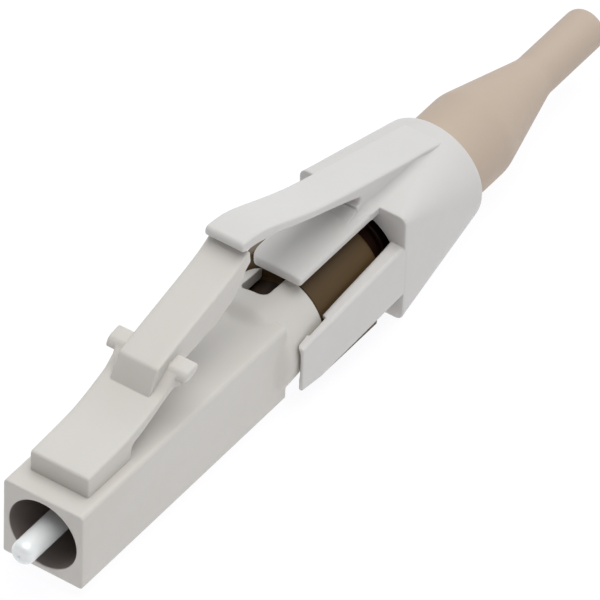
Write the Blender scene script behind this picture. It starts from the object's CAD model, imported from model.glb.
import bpy
import bmesh
import math
from mathutils import Matrix, Vector


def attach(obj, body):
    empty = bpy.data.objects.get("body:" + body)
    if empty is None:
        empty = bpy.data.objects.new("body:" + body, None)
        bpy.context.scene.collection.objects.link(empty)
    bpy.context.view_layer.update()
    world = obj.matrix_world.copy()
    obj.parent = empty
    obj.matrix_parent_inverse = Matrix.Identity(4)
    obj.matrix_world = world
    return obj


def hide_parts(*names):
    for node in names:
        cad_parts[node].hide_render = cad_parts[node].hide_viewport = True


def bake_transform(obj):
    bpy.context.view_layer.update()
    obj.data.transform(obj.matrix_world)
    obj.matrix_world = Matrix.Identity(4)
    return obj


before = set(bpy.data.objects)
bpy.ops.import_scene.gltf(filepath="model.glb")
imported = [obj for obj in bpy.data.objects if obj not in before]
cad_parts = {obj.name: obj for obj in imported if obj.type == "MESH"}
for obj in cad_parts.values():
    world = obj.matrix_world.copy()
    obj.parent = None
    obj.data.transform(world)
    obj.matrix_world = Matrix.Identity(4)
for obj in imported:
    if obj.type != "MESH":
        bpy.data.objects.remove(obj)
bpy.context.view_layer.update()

MM = 0.001
scene = bpy.context.scene

# ------------------------------------------------------------------ camera
# The standpoint, in mm: a long lens, from the front right and above.
EYE = (234.41824334, -324.08926478, 381.33619586)
RIGHT = (0.81484402, 0.57924501, 0.02245969)
DOWN = (0.40493051, -0.54104995, -0.73708632)
AHEAD = (-0.41480176, 0.60970499, -0.67542529)
cam_data = bpy.data.cameras.new("camera")
cam_data.sensor_fit = "HORIZONTAL"
cam_data.sensor_width = 36.0
cam_data.lens = 720.0
cam_data.clip_start = 0.05
cam_data.clip_end = 20.0
camera = bpy.data.objects.new("camera", cam_data)
scene.collection.objects.link(camera)
m = Matrix.Identity(4)
for i in range(3):
    m[i][0], m[i][1], m[i][2], m[i][3] = RIGHT[i], -DOWN[i], -AHEAD[i], EYE[i] * MM
camera.matrix_world = m
scene.camera = camera


# ------------------------------------------------------------- mesh helpers
def new_object(name, verts, faces):
    """An object whose mesh is in millimetres until done() scales it."""
    me = bpy.data.meshes.new(name)
    me.from_pydata([tuple(v) for v in verts], [], faces)
    me.update()
    bm = bmesh.new()
    bm.from_mesh(me)
    bmesh.ops.remove_doubles(bm, verts=bm.verts, dist=1e-5)
    bmesh.ops.recalc_face_normals(bm, faces=bm.faces)
    bm.to_mesh(me)
    bm.free()
    ob = bpy.data.objects.new(name, me)
    scene.collection.objects.link(ob)
    return ob


def skin(name, rings, loop=False):
    """Quads between closed rings of equal count; ends are closed unless the rings loop."""
    n = len(rings[0])
    verts = [p for r in rings for p in r]
    faces = []
    last = len(rings) if loop else len(rings) - 1
    for i in range(last):
        a, b = i * n, ((i + 1) % len(rings)) * n
        for k in range(n):
            k2 = (k + 1) % n
            faces.append((a + k, a + k2, b + k2, b + k))
    if not loop:
        faces.append(tuple(range(n)))
        faces.append(tuple((len(rings) - 1) * n + k for k in reversed(range(n))))
    return new_object(name, verts, faces)


def combine(a, b, how="UNION"):
    """Exact boolean of a and b, which is used up."""
    mod = a.modifiers.new("cut", "BOOLEAN")
    mod.operation = how
    mod.solver = "EXACT"
    mod.object = b
    dg = bpy.context.evaluated_depsgraph_get()
    me = bpy.data.meshes.new_from_object(a.evaluated_get(dg), depsgraph=dg)
    a.modifiers.clear()
    old = a.data
    a.data = me
    bpy.data.meshes.remove(old)
    spare = b.data
    bpy.data.objects.remove(b)
    bpy.data.meshes.remove(spare)
    bm = bmesh.new()
    bm.from_mesh(a.data)
    bmesh.ops.remove_doubles(bm, verts=bm.verts, dist=2e-4)
    bmesh.ops.dissolve_degenerate(bm, edges=bm.edges, dist=2e-4)
    bm.to_mesh(a.data)
    bm.free()
    return a


def done(ob, material, nodes=(), body=None, blend=None, angle=32.0):
    """Metres, smooth shading with true edges kept, finish, and the body it rides on."""
    ob.data.transform(Matrix.Scale(MM, 4))
    ob.data.materials.clear()
    ob.data.materials.append(material)
    ob.data.shade_smooth()
    ob.data.set_sharp_from_angle(angle=math.radians(angle))
    mod = ob.modifiers.new("weighted", "WEIGHTED_NORMAL")
    mod.keep_sharp = True
    mod.weight = 60
    if nodes:
        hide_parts(*nodes)
    if blend:
        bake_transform(ob)
    else:
        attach(ob, body)
    return ob


def rrect(y, x0, x1, z0, z1, rt, rb=None, ns=24, nc=8):
    """Rounded rectangle in a plane of constant y, counter-clockwise from the lower right."""
    rb = rt if rb is None else rb
    pts = []

    def side(a, b):
        for k in range(ns):
            t = k / ns
            pts.append((a[0] + (b[0] - a[0]) * t, y, a[1] + (b[1] - a[1]) * t))

    def corner(cx, cz, r, a0):
        for k in range(nc):
            a = math.radians(a0 + 90.0 * k / nc)
            pts.append((cx + r * math.cos(a), y, cz + r * math.sin(a)))

    side((x1, z0 + rb), (x1, z1 - rt))
    corner(x1 - rt, z1 - rt, rt, 0)
    side((x1 - rt, z1), (x0 + rt, z1))
    corner(x0 + rt, z1 - rt, rt, 90)
    side((x0, z1 - rt), (x0, z0 + rb))
    corner(x0 + rb, z0 + rb, rb, 180)
    side((x0 + rb, z0), (x1 - rb, z0))
    corner(x1 - rb, z0 + rb, rb, 270)
    return pts


def ring_on(ref, y, r, cz=0.0):
    """A circle whose points lie at the same angles as those of ref."""
    out = []
    for x, _, z in ref:
        a = math.atan2(z - cz, x)
        out.append((r * math.cos(a), y, cz + r * math.sin(a)))
    return out


def ring_mix(ref_a, ref_b, t, y, r):
    """A circle whose points turn from the angles of ref_a (t = 0) to those of ref_b (t = 1)."""
    out = []
    for (xa, _, za), (xb, _, zb) in zip(ref_a, ref_b):
        a, b = math.atan2(za, xa), math.atan2(zb, xb)
        d = (b - a + math.pi) % (2 * math.pi) - math.pi
        out.append((r * math.cos(a + d * t), y, r * math.sin(a + d * t)))
    return out


def arc_steps(n):
    return [math.sin(math.radians(90.0 * k / n)) for k in range(n + 1)], [1 - math.cos(math.radians(90.0 * k / n)) for k in range(n + 1)]


def soft_poly(pts, cut=0.1, steps=6):
    """Closed outline with each corner turned into a short curve; a point may carry its own cut."""
    out = []
    n = len(pts)
    for i in range(n):
        p = Vector(pts[i][:2])
        a = Vector(pts[i - 1][:2])
        b = Vector(pts[(i + 1) % n][:2])
        c = pts[i][2] if len(pts[i]) > 2 else cut
        la, lb = (a - p).length, (b - p).length
        ta, tb = min(c, 0.48 * la), min(c, 0.48 * lb)
        s, e = p + (a - p) * (ta / la), p + (b - p) * (tb / lb)
        for k in range(steps + 1):
            t = k / steps
            out.append((1 - t) ** 2 * s + 2 * t * (1 - t) * p + t * t * e)
    return out


def resample(pts, step):
    """The same closed outline with no run longer than step."""
    out = []
    n = len(pts)
    for i in range(n):
        a, b = pts[i], pts[(i + 1) % n]
        d = (b - a).length
        if d < 1e-6:
            continue
        k = max(1, int(math.ceil(d / step)))
        for j in range(k):
            out.append(a + (b - a) * (j / k))
    return out


def shrunk(pts, d):
    """The sharp closed outline moved inwards by d, corner cuts kept."""
    n = len(pts)
    area = sum(pts[i][0] * pts[(i + 1) % n][1] - pts[(i + 1) % n][0] * pts[i][1] for i in range(n))
    sgn = 1 if area > 0 else -1
    out = []
    for i in range(n):
        a, p, b = Vector(pts[i - 1][:2]), Vector(pts[i][:2]), Vector(pts[(i + 1) % n][:2])
        u, v = (p - a).normalized(), (b - p).normalized()
        w = Vector((-u.y, u.x)) * sgn + Vector((-v.y, v.x)) * sgn
        q = p + w * (d / max(w.length_squared / 2, 0.35))
        out.append((q.x, q.y, *pts[i][2:]))
    return out


def prism_x(name, pts, half, r, cut=0.1, step=0.35, steps=4, cols=6):
    """Side outline (y, z) carried across x, with its two side edges rounded to r."""
    n = len(pts)
    corner = 6

    def outline(d, counts=None):
        soft = soft_poly(shrunk(pts, d) if d else pts, cut, corner)
        got, out = [], []
        for i in range(n):
            own = soft[i * (corner + 1):(i + 1) * (corner + 1)]
            nxt = soft[((i + 1) % n) * (corner + 1)]
            out += own
            run = (nxt - own[-1]).length
            k = max(1, int(math.ceil(run / step))) if counts is None else counts[i]
            got.append(k)
            out += [own[-1] + (nxt - own[-1]) * (j / k) for j in range(1, k)]
        return out, got

    base, counts = outline(0.0)
    s, c = arc_steps(steps)
    rings = []
    for k in range(steps + 1):
        rings.append([(-half + c[k] * r, q.x, q.y) for q in outline(r * (1 - s[k]), counts)[0]])
    inner = half - r
    for k in range(1, cols):
        x = -inner + 2 * inner * k / cols
        rings.append([(x, q.x, q.y) for q in base])
    for k in range(steps, -1, -1):
        rings.append([(half - c[k] * r, q.x, q.y) for q in outline(r * (1 - s[k]), counts)[0]])
    return skin(name, rings)


def lathe(name, profile, seg=160, loop=True):
    """Outline (y, r) turned about the long axis. With loop the outline is a closed ring section."""
    rings = []
    for y, r in profile:
        rings.append([(r * math.cos(2 * math.pi * k / seg), y, r * math.sin(2 * math.pi * k / seg)) for k in range(seg)])
    return skin(name, rings, loop=loop)


def rounded_profile(pts, steps=6):
    """Closed (y, r) outline; each point is (y, r, cut)."""
    return [(q.x, q.y) for q in soft_poly(pts, 0.02, steps)]


# --------------------------------------------------------------- materials
def plastic(name, base, rough=0.42, vary=0.03, warm=(1.0, 0.99, 0.97), grain=0.35, grain_scale=9000.0,
            edge=0.10, edge_r=0.00012, sss=0.0, sss_col=None, coat=0.0, spec=0.5, flow=0.02, ior=1.5, deep=None):
    """Moulded plastic or elastomer: faint flow marks, fine spark-eroded grain, lighter worn edges."""
    mat = bpy.data.materials.new(name)
    mat.use_nodes = True
    nt = mat.node_tree
    nt.nodes.clear()
    N, L = nt.nodes.new, nt.links.new
    out = N("ShaderNodeOutputMaterial")
    bsdf = N("ShaderNodeBsdfPrincipled")
    L(bsdf.outputs[0], out.inputs[0])
    tc = N("ShaderNodeTexCoord")

    def noise(scale, detail, rgh, stretch=(1, 1, 1)):
        mp = N("ShaderNodeMapping")
        mp.inputs["Scale"].default_value = stretch
        L(tc.outputs["Object"], mp.inputs["Vector"])
        nz = N("ShaderNodeTexNoise")
        nz.inputs["Scale"].default_value = scale
        nz.inputs["Detail"].default_value = detail
        nz.inputs["Roughness"].default_value = rgh
        L(mp.outputs[0], nz.inputs["Vector"])
        return nz.outputs["Fac"]

    def ramp(src, a, b, lo, hi):
        mr = N("ShaderNodeMapRange")
        mr.inputs["From Min"].default_value = a
        mr.inputs["From Max"].default_value = b
        mr.inputs["To Min"].default_value = lo
        mr.inputs["To Max"].default_value = hi
        L(src, mr.inputs["Value"])
        return mr.outputs[0]

    def mix(fac, a, b):
        mx = N("ShaderNodeMix")
        mx.data_type = "RGBA"
        if isinstance(fac, float):
            mx.inputs["Factor"].default_value = fac
        else:
            L(fac, mx.inputs["Factor"])
        for key, v in ((6, a), (7, b)):
            if isinstance(v, tuple):
                mx.inputs[key].default_value = (*v, 1.0)
            else:
                L(v, mx.inputs[key])
        return mx.outputs[2]

    dark = tuple(c * (1 - vary) * w for c, w in zip(base, warm))
    light = tuple(min(1.0, c * (1 + vary)) for c in base)
    cloud = noise(260.0, 4.0, 0.55, (1.0, 0.45, 1.0))
    col = mix(ramp(cloud, 0.32, 0.68, 0.0, 1.0), dark, light)
    speck = noise(5200.0, 2.0, 0.5)
    col = mix(ramp(speck, 0.62, 0.80, 0.0, flow * 4), col, tuple(c * 0.86 for c in base))

    bev = N("ShaderNodeBevel")
    bev.samples = 6
    bev.inputs["Radius"].default_value = edge_r
    geo = N("ShaderNodeNewGeometry")
    dot = N("ShaderNodeVectorMath")
    dot.operation = "DOT_PRODUCT"
    L(bev.outputs[0], dot.inputs[0])
    L(geo.outputs["Normal"], dot.inputs[1])
    edge_mask = ramp(dot.outputs["Value"], 0.995, 0.80, 0.0, edge * 4)
    col = mix(edge_mask, col, tuple(min(1.0, c * 1.12 + 0.01) for c in base))
    if deep:
        # darker inside a bore: radius, start and end along the axis, run-in, colour
        rad, y0, y1, run, tint = deep
        sep = N("ShaderNodeSeparateXYZ")
        L(tc.outputs["Object"], sep.inputs[0])
        flat = N("ShaderNodeCombineXYZ")
        L(sep.outputs["X"], flat.inputs["X"])
        L(sep.outputs["Z"], flat.inputs["Z"])
        ln = N("ShaderNodeVectorMath")
        ln.operation = "LENGTH"
        L(flat.outputs[0], ln.inputs[0])
        m1 = ramp(ln.outputs["Value"], rad * MM, (rad + 0.012) * MM, 1.0, 0.0)
        m2 = ramp(sep.outputs["Y"], y0 * MM, (y0 + run) * MM, 0.0, 1.0)
        m3 = ramp(sep.outputs["Y"], y1 * MM, (y1 + 0.05) * MM, 1.0, 0.0)
        mm1 = N("ShaderNodeMath")
        mm1.operation = "MULTIPLY"
        L(m1, mm1.inputs[0])
        L(m2, mm1.inputs[1])
        mm2 = N("ShaderNodeMath")
        mm2.operation = "MULTIPLY"
        L(mm1.outputs[0], mm2.inputs[0])
        L(m3, mm2.inputs[1])
        col = mix(mm2.outputs[0], col, tint)
    L(col, bsdf.inputs["Base Color"])

    rg = noise(1400.0, 3.0, 0.6)
    L(ramp(rg, 0.3, 0.7, rough - 0.05, rough + 0.06), bsdf.inputs["Roughness"])
    bsdf.inputs["Specular IOR Level"].default_value = spec
    bsdf.inputs["IOR"].default_value = ior
    if coat:
        bsdf.inputs["Coat Weight"].default_value = coat
        bsdf.inputs["Coat Roughness"].default_value = 0.12
    if sss:
        bsdf.inputs["Subsurface Weight"].default_value = sss
        bsdf.inputs["Subsurface Radius"].default_value = sss_col or (1.0, 0.85, 0.7)
        bsdf.inputs["Subsurface Scale"].default_value = 0.0004

    fine = noise(grain_scale, 3.0, 0.6)
    flowmark = noise(700.0, 2.0, 0.5, (1.0, 0.25, 1.0))
    b1 = N("ShaderNodeBump")
    b1.inputs["Strength"].default_value = 0.10
    b1.inputs["Distance"].default_value = 0.00002
    L(flowmark, b1.inputs["Height"])
    L(bev.outputs[0], b1.inputs["Normal"])
    b2 = N("ShaderNodeBump")
    b2.inputs["Strength"].default_value = grain
    b2.inputs["Distance"].default_value = 0.000006
    L(fine, b2.inputs["Height"])
    L(b1.outputs[0], b2.inputs["Normal"])
    L(b2.outputs[0], bsdf.inputs["Normal"])
    return mat


def metal(name, base, rough=0.3, streak=(1.0, 0.05, 1.0)):
    """Drawn or turned metal with fine marks along its surface."""
    mat = plastic(name, base, rough=rough, vary=0.06, grain=0.2, grain_scale=14000.0, edge=0.05)
    bsdf = next(n for n in mat.node_tree.nodes if n.type == "BSDF_PRINCIPLED")
    bsdf.inputs["Metallic"].default_value = 1.0
    return mat


HOUSING = plastic("housing_plastic", (0.611, 0.583, 0.550), rough=0.46, vary=0.012, grain=0.22, edge=0.05, sss=0.08, deep=(1.935, 0.0, 18.0, 0.06, (0.20, 0.165, 0.15)))
TRIGGER = plastic("trigger_plastic", (0.612, 0.592, 0.576), rough=0.44, vary=0.012, warm=(1.0, 1.0, 0.99), grain=0.20, edge=0.05, sss=0.08, deep=(2.635, 24.66, 31.0, 0.20, (0.085, 0.040, 0.026)))
CAM = plastic("cam_plastic", (0.091, 0.054, 0.022), rough=0.48, vary=0.10, grain=0.25, edge=0.06, spec=0.22, deep=(1.96, 10.0, 18.70, 0.1, (0.030, 0.017, 0.010)))
BOOT = plastic("boot_rubber", (0.490, 0.395, 0.318), rough=0.56, vary=0.015, grain=0.30, grain_scale=7000.0, edge=0.04, spec=0.42, flow=0.015)
CERAMIC = plastic("zirconia", (0.87, 0.885, 0.88), rough=0.16, vary=0.01, warm=(1, 1, 1), grain=0.03, edge=0.03, sss=0.15, sss_col=(0.9, 1.0, 1.0), spec=0.6, flow=0.0, ior=1.9)
SILICA = plastic("silica", (0.90, 0.93, 0.95), rough=0.08, vary=0.01, warm=(1, 1, 1), grain=0.01, edge=0.0, flow=0.0)
HOLDER = plastic("holder_plastic", (0.045, 0.037, 0.032), rough=0.45, vary=0.06)
SPLICE = plastic("splice_plastic", (0.52, 0.47, 0.38), rough=0.40, vary=0.04, sss=0.1)
TUBE = plastic("tube_plastic", (0.045, 0.018, 0.012), rough=0.80, vary=0.06, edge=0.0, spec=0.08)
SPRING = metal("spring_steel", (0.60, 0.60, 0.58), rough=0.24)
CRIMP = metal("crimp_metal", (0.66, 0.50, 0.26), rough=0.34)
RING = metal("ring_metal", (0.11, 0.06, 0.045), rough=0.55)
by_node = {
    "front_housing": HOUSING, "latch_arm": HOUSING, "trigger_body": TRIGGER, "trigger_arm": TRIGGER, "cam": CAM, "boot": BOOT,
    "ferrule": CERAMIC, "fibre_stub": SILICA, "ferrule_holder": HOLDER, "splice_upper": SPLICE, "splice_lower": SPLICE,
    "lead_in_tube": SPLICE, "rear_tube": TUBE, "spring": SPRING, "crimp_tube": CRIMP, "crimp_ring": RING,
}
for node, mat in by_node.items():
    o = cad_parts[node]
    if not o.material_slots:
        o.data.materials.append(mat)
    for s in o.material_slots:
        s.material = mat

# ----------------------------------------------------------- front housing
A = 2.26
ref = rrect(0.0, -A, A, -A, A, 0.22, 0.15)


def nose(y, d=0.0):
    return rrect(y, -A + d, A - d, -A + d, A - d, max(0.22 - d, 0.10), max(0.15 - d, 0.05))


rings = []
for y, r in ((6.45, 1.32), (5.24, 1.32), (5.20, 1.36), (5.20, 1.88), (5.16, 1.916), (4.0, 1.916), (2.8, 1.916), (1.6, 1.916), (0.6, 1.916),
             (0.06, 1.916), (0.025, 1.926), (0.006, 1.942), (0.0, 1.962)):
    rings.append(ring_on(ref, y, r))
s, c = arc_steps(4)
rings.append([tuple(0.5 * (a[i] + b[i]) for i in range(3)) for a, b in zip(ring_on(ref, 0.0, 1.962), nose(0.0, 0.09))])
for k in range(5):
    rings.append(nose(0.09 * c[k], 0.09 * (1 - s[k])))
for k in range(1, 20):
    rings.append(nose(0.09 + (14.95 - 0.09) * k / 20))
END = 16.20
nose_r = [math.hypot(x, z) for x, _, z in ref]
ang = [math.atan2(z, x) for x, _, z in ref]
B0, B1 = 2.72, 2.55
for k in range(9):
    t = k / 8
    y = 15.00 + 1.10 * t
    lift = 2.26 + (B0 - 2.26) * (3 * t * t - 2 * t * t * t)
    ring = []
    for rn, a in zip(nose_r, ang):
        rr = max(rn, lift)
        ring.append((rr * math.cos(a), y, rr * math.sin(a)))
    rings.append(ring)
for stage in range(7):
    ring = []
    for rn, a in zip(nose_r, ang):
        rn = max(rn, B0 - 0.004)
        dlt = B0 - rn
        f = min(0.06, abs(dlt) / 2.2)
        sg = 1 if dlt > 0 else -1
        q = ((END - 0.06, rn), (END - 0.02, rn + sg * f * 0.29), (END - 0.004, rn + sg * f), (END, (rn + B0) / 2), (END + 0.004, B0 - sg * f),
             (END + 0.02, B0 - sg * f * 0.29), (END + 0.06, B0))[stage]
        ring.append((q[1] * math.cos(a), q[0], q[1] * math.sin(a)))
    rings.append(ring)
for k in range(1, 6):
    t = k / 6
    rings.append(ring_on(ref, 16.27 + (18.73 - 16.27) * t, B0 + (B1 - B0) * t))
for k in range(5):
    rings.append(ring_on(ref, 18.73 + 0.12 * s[k], B1 - 0.12 * c[k]))
for y, r in ((18.85, 2.30), (18.85, 2.08), (18.83, 2.035), (18.79, 2.02), (17.5, 2.02), (16.00, 2.02), (16.00, 1.78), (12.0, 1.78), (6.45, 1.78)):
    rings.append(ring_on(ref, y, r))
housing = skin("housing_shell", rings, loop=True)

# slot in the top of the round tail
r = 0.45
outline = [(0.42, 20.0), (-1.10, 20.0)]
for k in range(13):
    a = math.radians(180 + 90 * k / 12)
    outline.append((-1.10 + r + r * math.cos(a), 16.90 + r + r * math.sin(a)))
for k in range(13):
    a = math.radians(270 + 90 * k / 12)
    outline.append((0.42 - r + r * math.cos(a), 16.90 + r + r * math.sin(a)))
levels = []
for z, grow in ((1.20, 0.0), (2.30, 0.0), (2.52, 0.0), (3.40, 0.0)):
    levels.append([(x, y, z) for x, y in outline])
slot = skin("slot_tool", levels)
housing = combine(housing, slot, "DIFFERENCE")

done(housing, HOUSING, ["front_housing"], body="housing")


# ------------------------------------------- latch: block, plate, lugs, tab
def lerp(table, y):
    if y <= table[0][0]:
        return table[0][1]
    for (a, va), (b, vb) in zip(table, table[1:]):
        if y <= b:
            return va + (vb - va) * (y - a) / (b - a)
    return table[-1][1]


top_z = [(1.25, 3.30), (1.27, 3.38), (1.32, 3.43), (1.40, 3.455), (3.2, 3.55), (4.0, 3.602), (4.4, 3.645), (4.7, 3.690), (5.0, 3.750), (5.3, 3.823), (5.6, 3.905), (6.0, 4.018), (6.70, 4.24), (7.00, 4.34), (7.20, 4.45), (7.40, 4.60), (8.10, 5.14), (8.25, 5.22), (8.45, 5.25), (8.9, 5.26), (9.0, 5.24), (9.06, 5.20), (9.10, 5.13)]
bot_z = [(1.25, 2.15), (4.56, 2.15), (4.5801, 2.66), (4.60, 2.78), (4.64, 2.90), (4.70, 3.00), (4.78, 3.07), (4.88, 3.12), (5.2, 3.21), (5.67, 3.36), (6.25, 3.60), (6.89, 3.90), (7.6, 4.18), (8.3, 4.48), (8.6, 4.64), (8.9, 4.80), (9.0, 4.88), (9.06, 4.94), (9.10, 5.00)]
half_x = [(1.25, 1.60), (1.27, 1.635), (1.32, 1.655), (1.40, 1.66), (6.0, 1.67), (7.70, 1.68), (7.86, 1.72), (7.98, 1.82), (8.05, 1.86), (8.16, 1.84), (8.4, 1.74), (9.0, 1.70), (9.06, 1.68), (9.10, 1.62)]
ys = sorted(set([1.25, 1.27, 1.29, 1.32, 1.36, 1.40, 4.30, 4.56, 4.5801, 4.60, 4.62, 4.64, 4.67, 4.70, 4.74, 4.78, 4.83, 4.88, 4.94]
                + [1.40 + 0.29 * k for k in range(1, 10)] + [5.0 + 0.1 * k for k in range(0, 8)] + [5.8 + 0.2 * k for k in range(0, 10)]
                + [7.70, 7.76, 7.81, 7.86, 7.90, 7.94, 7.98, 8.02, 8.05, 8.08, 8.12, 8.16, 8.21, 8.26, 8.4, 8.6, 8.80, 8.86, 8.92, 8.97, 9.02, 9.06, 9.10]))
rings = []
for y in ys:
    w, zb, zt = lerp(half_x, y), lerp(bot_z, y), lerp(top_z, y)
    rr = min(0.11, (zt - zb) * 0.42)
    rings.append(rrect(y, -w, w, zb, zt, rr, min(0.06, rr), ns=14, nc=5))
strip = skin("latch_strip", rings)

tab_outline = [(6.60, 4.02, 0.02), (6.72, 4.30, 0.03), (7.06, 4.90, 0.10), (7.38, 5.45, 0.13), (8.60, 5.80, 0.4), (12.50, 6.80, 0.9), (13.50, 7.10, 0.4), (14.10, 7.37, 0.25),
               (14.52, 7.62, 0.07), (14.64, 7.52, 0.05), (14.72, 6.90, 0.08), (14.34, 6.62, 0.15), (13.89, 5.95, 0.2), (13.35, 5.42, 0.2), (12.50, 5.18, 0.2), (12.12, 4.94, 0.15),
               (9.90, 4.60, 0.3), (8.30, 4.40, 0.1), (7.20, 3.98, 0.1)]
tab = prism_x("tab", tab_outline, 1.13, 0.10, step=0.4, steps=4, cols=6)
strip = combine(strip, tab)
lug = prism_x("lug", [(7.88, 4.78, 0.08), (7.98, 5.06, 0.12), (8.20, 5.25, 0.12), (8.95, 5.35, 0.10), (9.03, 5.22, 0.07), (8.95, 4.96, 0.10), (8.42, 4.73, 0.10)],
              2.26, 0.10, step=0.2, steps=4, cols=8)
strip = combine(strip, lug)
done(strip, HOUSING, ["latch_arm"], blend=("housing", "latch", (0, 4.25 * MM, 3.3 * MM), (0, 5.35 * MM, 3.3 * MM)))

# ------------------------------------------------- rear body: collar, walls
CY0, CY1 = 24.63, 31.35


def collar(t, y, d=0.0):
    h = 3.07 + (2.95 - 3.07) * t - d
    z0 = -3.10 + (0.10 - 2.95 + 3.10) * t + d
    z1 = 3.35 + (0.10 + 2.95 - 3.35) * t - d
    rr = 0.45 + (2.93 - 0.45) * t - d
    return rrect(y, -h, h, z0, z1, max(rr, 0.05), ns=16, nc=20)


front = collar(0.0, CY0)
rings = []
rear = collar(1.0, CY1, 0.16)
for t, y, rad in ((0.5, 28.0, 2.30), (0.35, 27.2, 2.30), (0.24, 26.66, 2.30), (0.23, 26.60, 2.36), (0.22, 26.56, 2.60), (0.1, 25.6, 2.60), (0.0, 24.69, 2.60), (0.0, 24.65, 2.612), (0.0, CY0, 2.64)):
    rings.append(ring_mix(front, rear, t, y, rad))
rings.append([tuple(0.5 * (a[i] + b[i]) for i in range(3)) for a, b in zip(ring_on(front, CY0, 2.64), collar(0.0, CY0, 0.05))])
s3, c3 = arc_steps(3)
for k in range(4):
    rings.append(collar(0.0, CY0 + 0.05 * c3[k], 0.05 * (1 - s3[k])))
steps = 26
for k in range(1, steps):
    t = k / steps
    y = CY0 + 0.05 + (CY1 - 0.16 - CY0 - 0.05) * t
    rings.append(collar((y - CY0) / (CY1 - CY0), y))
rear_t = (CY1 - 0.16 - CY0) / (CY1 - CY0)
s4, c4 = arc_steps(5)
for k in range(6):
    rings.append(collar(rear_t + (1 - rear_t) * s4[k], CY1 - 0.16 + 0.16 * s4[k], 0.16 * c4[k]))
for t, y, rad in ((1.0, CY1, 2.56), (1.0, CY1 - 0.015, 2.49), (1.0, CY1 - 0.06, 2.452), (0.9, 30.6, 2.45), (0.8, 29.9, 2.45), (0.7, 29.2, 2.45), (0.6, 28.6, 2.45), (0.5, 28.0, 2.45)):
    rings.append(ring_mix(front, rear, t, y, rad))
body = skin("rear_body", rings, loop=True)


def wall(sign):
    rings = []
    z_top = [(16.50, 0.97), (25.0, 1.605)]
    z_bot = [(16.50, -1.66), (18.05, -1.86), (24.93, -1.40), (25.0, -1.40)]
    x_out = [(16.50, 2.975), (24.63, 3.069), (24.80, 3.02), (25.0, 2.98)]
    stations = [16.50, 16.515, 16.54, 16.58, 16.65, 16.75, 16.85, 16.95, 17.2, 17.42, 17.47, 17.7, 18.05, 18.45, 18.84, 18.88, 18.92, 18.96, 19.3] + [19.3 + 0.6 * k for k in range(1, 9)] + [24.35, 24.55, 24.63, 24.72, 24.80]
    for y in stations:
        zt, zb, xo = lerp(z_top, y), lerp(z_bot, y), lerp(x_out, y)
        e = max(0.0, 1 - (y - 16.50) / 0.08)
        d = 0.08 * (1 - math.sqrt(max(0.0, 1 - e * e)))
        rc = lerp([(16.50, 2.90), (16.70, 2.80), (17.42, 2.76), (17.47, 2.87), (18.84, 2.87), (18.96, 2.58), (20.5, 2.60), (23.9, 2.70), (25.0, 2.70)], y)

        def inner(z):
            x = math.sqrt(max(rc * rc - (z + 0.10) ** 2, 0.0)) if abs(z + 0.10) < rc else 0.0
            if z < -0.10:
                x = max(x, 2.78 if y < 18.9 else 2.42)
            if y > 24.5:
                x = max(x, math.sqrt(max(2.62 ** 2 - z * z, 0.0)))
            return min(x, xo - 0.12)
        zt, zb, xo = zt - d, zb + d, xo - d * 0.6
        pts = []
        room = xo - inner(zt)
        rt, rb, ri = min(0.13 if y < 18.9 else 0.20, 0.35 * room), 0.12, min(0.05 if y < 18.9 else 0.30, 0.60 * room)
        for k in range(14):
            pts.append((xo, zb + rb + (zt - rt - zb - rb) * k / 14))
        for k in range(9):
            a = math.radians(90 * k / 8)
            pts.append((xo - rt + rt * math.cos(a), zt - rt + rt * math.sin(a)))
        xi = inner(zt) + d * 0.3
        for k in range(1, 6):
            pts.append((xo - rt + (xi + ri - xo + rt) * k / 6, zt))
        for k in range(7):
            a = k / 6
            z = zt - ri * a * a
            x = xi + ri * (1 - a) ** 2 + (inner(z) - inner(zt)) * a
            pts.append((x, z))
        for k in range(1, 18):
            z = zt - ri + (zb + rb - zt + ri) * k / 18
            pts.append((inner(z) + d * 0.3, z))
        xb = inner(zb + rb) + d * 0.3
        thick = xo - xb
        rbb = min(rb, thick * 0.45)
        for k in range(6):
            a = math.radians(180 + 90 * k / 5)
            pts.append((xb + rbb + rbb * math.cos(a), zb + rb + rb * math.sin(a)))
        for k in range(5):
            a = math.radians(270 + 90 * k / 5)
            pts.append((xo - rbb + rbb * math.cos(a), zb + rb + rb * math.sin(a)))
        rings.append([(sign * x, y, z) for x, z in pts])
    return skin("wall", rings)


body = combine(body, wall(1))
body = combine(body, wall(-1))

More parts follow.
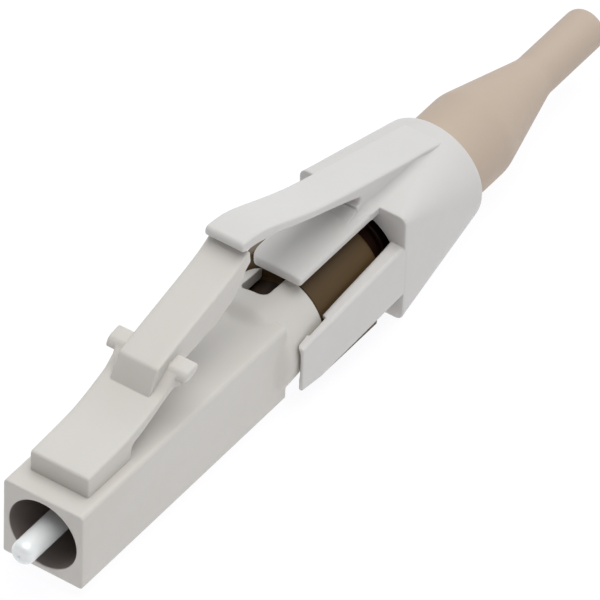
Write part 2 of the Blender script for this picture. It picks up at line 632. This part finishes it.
# bridge over the cam, crowned, with one rounded front corner
rings = []
stations = [18.20, 18.205, 18.22, 18.25, 18.29, 18.35, 18.42, 18.50, 18.58, 18.65, 18.8, 19.0, 19.2] + [19.2 + 0.5 * k for k in range(1, 11)] + [24.45, 24.75]
for y in stations:
    e = max(0.0, 1 - (y - 18.20) / 0.09)
    d = 0.09 * (1 - math.sqrt(max(0.0, 1 - e * e)))
    g = max(0.0, 1.0 - (y - 18.20))
    x0 = -1.50 + 0.55 * (1.0 - math.sqrt(max(1.0 - g * g, 0.0)))
    g = max(0.0, 0.14 - (y - 18.20))
    x1 = 1.52 - (0.14 - math.sqrt(max(0.14 ** 2 - g * g, 0.0)))

    def crown(x):
        return 3.50 - (9.0 - math.sqrt(81.0 - x * x))

    pts = []
    rt, rb = 0.13, 0.06
    zb = 2.95 + d * 0.5
    z1, z0 = crown(x1) - d, crown(x0) - d
    for k in range(4):
        pts.append((x1, zb + rb + (z1 - rt - zb - rb) * k / 4))
    for k in range(7):
        a = math.radians(90 * k / 6)
        pts.append((x1 - rt + rt * math.cos(a), z1 - rt + rt * math.sin(a)))
    for k in range(1, 18):
        x = x1 - rt + (x0 + rt - x1 + rt) * k / 18
        pts.append((x, crown(x) - d))
    for k in range(7):
        a = math.radians(90 + 90 * k / 6)
        pts.append((x0 + rt + rt * math.cos(a), z0 - rt + rt * math.sin(a)))
    for k in range(1, 4):
        pts.append((x0, z0 - rt + (zb + rb - z0 + rt) * k / 4))
    for k in range(5):
        a = math.radians(180 + 90 * k / 4)
        pts.append((x0 + rb + rb * math.cos(a), zb + rb + rb * math.sin(a)))
    for k in range(1, 14):
        pts.append((x0 + rb + (x1 - rb - x0 - rb) * k / 14, zb))
    for k in range(4):
        a = math.radians(270 + 90 * k / 4)
        pts.append((x1 - rb + rb * math.cos(a), zb + rb + rb * math.sin(a)))
    rings.append([(x, y, z) for x, z in pts])
bridge = skin("bridge", rings)
body = combine(body, bridge)
ramp_in = prism_x("ramp", [(21.9, 3.12, 0.02), (21.9, 3.34, 0.02), (22.5, 3.42, 0.3), (23.00, 3.54, 0.3), (23.32, 3.76, 0.1), (23.38, 3.90, 0.03), (23.38, 3.12, 0.02)], 1.085, 0.03, steps=3, cols=4)
body = combine(body, ramp_in)


def deck(x, y):
    """Height of the bridge or of the collar's top at x."""
    x = abs(x)
    if y < CY0:
        return 3.50 - (9.0 - math.sqrt(81.0 - x * x))
    t = (y - CY0) / (CY1 - CY0)
    h = 3.07 + (2.95 - 3.07) * t
    z1 = 3.35 + (0.10 + 2.95 - 3.35) * t
    rr = 0.45 + (2.93 - 0.45) * t
    e = max(0.0, x - (h - rr))
    return z1 - (rr - math.sqrt(max(rr * rr - e * e, 0.0)))


def droop(x, y):
    """How far the top of the ridge falls away from its centre line, so that it runs out on the collar."""
    return max(0.0, min(1.0, (y - 25.0) / 4.0)) * (deck(0.0, y) - deck(x, y))


ridge_z = [(23.0, 3.56), (23.4, 3.95), (23.7, 4.6), (24.4, 4.86), (26.40, 4.26), (28.30, 3.71), (29.50, 3.38), (30.40, 3.11)]
for sgn in (1, -1):
    rings = []
    for k in range(25):
        y = 22.9 + (30.0 - 22.9) * k / 24
        room = max(0.02, lerp(ridge_z, y) - droop(1.1, y) - deck(1.1, y))
        f = min(0.42, 0.75 * room) * min(1.0, (y - 22.88) / 1.2, (30.05 - y) / 1.5)
        pts = [(0.55, -0.45), (1.02, f + 0.004)]
        for q in range(9):
            a = math.radians(90 * q / 8)
            pts.append((1.09 + f * (1 - math.cos(a)), f * (1 - math.sin(a))))
        pts.append((1.13 + f, -0.03))
        pts.append((1.09 + f, -0.45))
        rings.append([(sgn * px, y, deck(px, y) + pz) for px, pz in pts])
    body = combine(body, skin("fillet", rings))
done(body, TRIGGER, ["trigger_body"], body="housing")

# ------------------------------------- trigger arm, with its root and ridge
arm_outline = [(14.05, 7.92, 0.08), (14.05, 8.20, 0.10), (14.22, 8.36, 0.12), (15.10, 8.26, 0.45), (15.90, 8.05, 0.4), (16.96, 7.62, 0.5), (18.36, 7.00, 0.6),
               (19.66, 6.45, 0.6), (21.00, 5.95, 0.6), (23.40, 5.18, 1.1), (26.40, 4.26, 1.3), (28.30, 3.71, 1.0), (29.50, 3.38, 0.5), (30.40, 3.11, 0.10), (30.55, 2.95, 0.05), (30.4, 2.62, 0.05),
               (24.90, 2.98, 0.05), (23.42, 3.02, 0.02), (23.40, 3.92, 0.08), (23.62, 4.02, 0.08), (23.71, 4.22, 0.09), (23.62, 4.44, 0.09), (23.38, 4.53, 0.10), (22.90, 4.74, 0.2), (21.20, 5.40, 0.5),
               (19.70, 5.95, 0.5), (18.40, 6.46, 0.4), (17.00, 7.05, 0.4), (15.20, 7.62, 0.4), (14.20, 7.79, 0.10)]
arm = prism_x("trigger_strip", arm_outline, 1.10, 0.10, step=0.3, steps=4, cols=10)
for v in arm.data.vertices:
    if v.co.y > 25.0 and v.co.z > 2.95:
        v.co.z -= droop(v.co.x, v.co.y)
done(arm, TRIGGER, ["trigger_arm"], blend=("housing", "trigger", (0, 24.3 * MM, 4.8 * MM), (0, 22.6 * MM, 4.8 * MM)))

# ---------------------------------------------------------------------- cam
cam_profile = rounded_profile([(16.25, 1.45, 0.02), (16.25, 1.90, 0.06), (18.95, 1.90, 0.02), (18.95, 2.40, 0.08), (23.74, 2.40, 0.30), (23.74, 1.45, 0.05)])
cam_profile = [(q.x, q.y) for q in resample([Vector(p) for p in cam_profile], 0.8)]
cam = lathe("cam_body", cam_profile)
key_rings = []
for y, d in ((19.10, 0.10), (19.107, 0.06), (19.13, 0.03), (19.20, 0.0), (20.8, 0.0), (22.4, 0.0), (23.60, 0.0), (23.67, 0.03), (23.693, 0.06), (23.70, 0.10)):
    key_rings.append(rrect(y, -2.30 + d, 2.30 - d, -3.05 + d, -1.65, 0.05, 0.20, ns=10, nc=8))
key = skin("key", key_rings)
cut = lathe("key_clear", [(15.0, 0.01), (15.0, 2.0), (25.0, 2.0), (25.0, 0.01)], seg=96)
key = combine(key, cut, "DIFFERENCE")
cam = combine(cam, key)
wing_rings = []
for y, d in ((18.96, 0.04), (18.972, 0.015), (19.0, 0.0), (19.6, 0.0), (20.3, 0.0), (20.96, 0.0), (20.988, 0.015), (21.0, 0.04)):
    wing_rings.append([(q.x, y, q.y) for q in soft_poly(shrunk([(-1.30, 1.70, 0.02), (-1.80, 2.68, 0.10), (-2.46, 2.08, 0.08), (-2.74, 1.62, 0.10), (-1.75, 1.15, 0.02)], d), 0.05, 6)])
cam = combine(cam, skin("wing", wing_rings))
done(cam, CAM, ["cam"], body="housing")

# --------------------------------------------------------------------- boot
boot_profile = rounded_profile([(27.70, 1.45, 0.05), (27.70, 2.385, 0.12), (34.60, 2.385, 0.35), (39.70, 1.12, 0.30), (44.45, 1.12, 0.50), (44.45, 0.52, 0.05), (34.00, 0.50, 0.02),
                                (34.00, 0.93, 0.02), (30.10, 0.93, 0.02), (30.10, 1.43, 0.02)], steps=10)
boot_profile = [(q.x, q.y) for q in resample([Vector(p) for p in boot_profile], 0.7)]
boot = lathe("boot_sleeve", boot_profile, seg=144)
done(boot, BOOT, ["boot"], body="housing")

# ------------------------------------------------------------------ ferrule
ferrule_profile = rounded_profile([(-1.85, 0.0655, 0.001), (-1.848, 0.22, 0.08), (-1.79, 0.43, 0.12), (-1.64, 0.575, 0.12), (-1.40, 0.625, 0.16), (4.65, 0.625, 0.05), (4.65, 0.32, 0.02), (4.05, 0.0665, 0.02)], steps=8)
ferrule_profile = [(q.x, q.y) for q in resample([Vector(p) for p in ferrule_profile], 0.6)]
ferrule = lathe("ferrule_body", ferrule_profile, seg=112)
done(ferrule, CERAMIC, ["ferrule"], body="ferrule_group", angle=50)

# ------------------------------------- spring, which shortens with the ferrule
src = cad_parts["spring"]
coil = bpy.data.objects.new("spring_coil", src.data.copy())
scene.collection.objects.link(coil)
coil.data.transform(src.matrix_world)
coil.data.materials.clear()
coil.data.materials.append(SPRING)
coil.data.shade_smooth()
coil.data.set_sharp_from_angle(angle=math.radians(50))
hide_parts("spring")
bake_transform(coil)

# ------------------------------------------------------------ floor, lights
FLOOR = -3.10 * MM - 0.00002
size = 1.2
me = bpy.data.meshes.new("floor")
n = 12
me.from_pydata([(-size + 2 * size * i / n, -size + 2 * size * j / n, FLOOR) for j in range(n + 1) for i in range(n + 1)], [],
               [(j * (n + 1) + i, j * (n + 1) + i + 1, (j + 1) * (n + 1) + i + 1, (j + 1) * (n + 1) + i) for j in range(n) for i in range(n)])
floor = bpy.data.objects.new("floor", me)
scene.collection.objects.link(floor)
fm = bpy.data.materials.new("floor_paper")
fm.use_nodes = True
b = fm.node_tree.nodes["Principled BSDF"]
b.inputs["Base Color"].default_value = (0.11, 0.11, 0.11, 1)
b.inputs["Roughness"].default_value = 0.9
b.inputs["Specular IOR Level"].default_value = 0.1
b.inputs["Emission Color"].default_value = (1.0, 1.0, 1.015, 1)
b.inputs["Emission Strength"].default_value = 0.91
me.materials.append(fm)

world = bpy.data.worlds.new("studio")
scene.world = world
world.use_nodes = True
bg = world.node_tree.nodes["Background"]
bg.inputs[0].default_value = (0.91, 0.958, 1.0, 1)
# the room is brighter towards the right and the rear than towards the front
wn, wl = world.node_tree.nodes.new, world.node_tree.links.new
wtc = wn("ShaderNodeTexCoord")
wdot = wn("ShaderNodeVectorMath")
wdot.operation = "DOT_PRODUCT"
wdot.inputs[1].default_value = Vector((0.0, 0.62, 0.78)).normalized()
wl(wtc.outputs["Generated"], wdot.inputs[0])
wmr = wn("ShaderNodeMapRange")
wmr.inputs["From Min"].default_value = -0.45
wmr.inputs["From Max"].default_value = 1.0
wmr.inputs["To Min"].default_value = 0.05
wmr.inputs["To Max"].default_value = 0.92
wl(wdot.outputs["Value"], wmr.inputs["Value"])
wl(wmr.outputs[0], bg.inputs[1])


def area(name, at, to, w, h, power, color=(1, 1, 1)):
    ld = bpy.data.lights.new(name, "AREA")
    ld.shape = "RECTANGLE"
    ld.size, ld.size_y = w, h
    ld.energy = power
    ld.color = color
    ob = bpy.data.objects.new(name, ld)
    ob.location = at
    ob.rotation_euler = (Vector(to) - Vector(at)).to_track_quat("-Z", "Y").to_euler()
    scene.collection.objects.link(ob)
    return ob


centre = (0, 0.02, 0)
area("top_soft", (0.07, 0.03, 0.70), centre, 0.66, 0.66, 3.4, (1.0, 0.98, 0.952))
scene.view_settings.view_transform = "Standard"
scene.view_settings.look = "None"
scene.view_settings.exposure = 0.0
scene.view_settings.gamma = 1.0
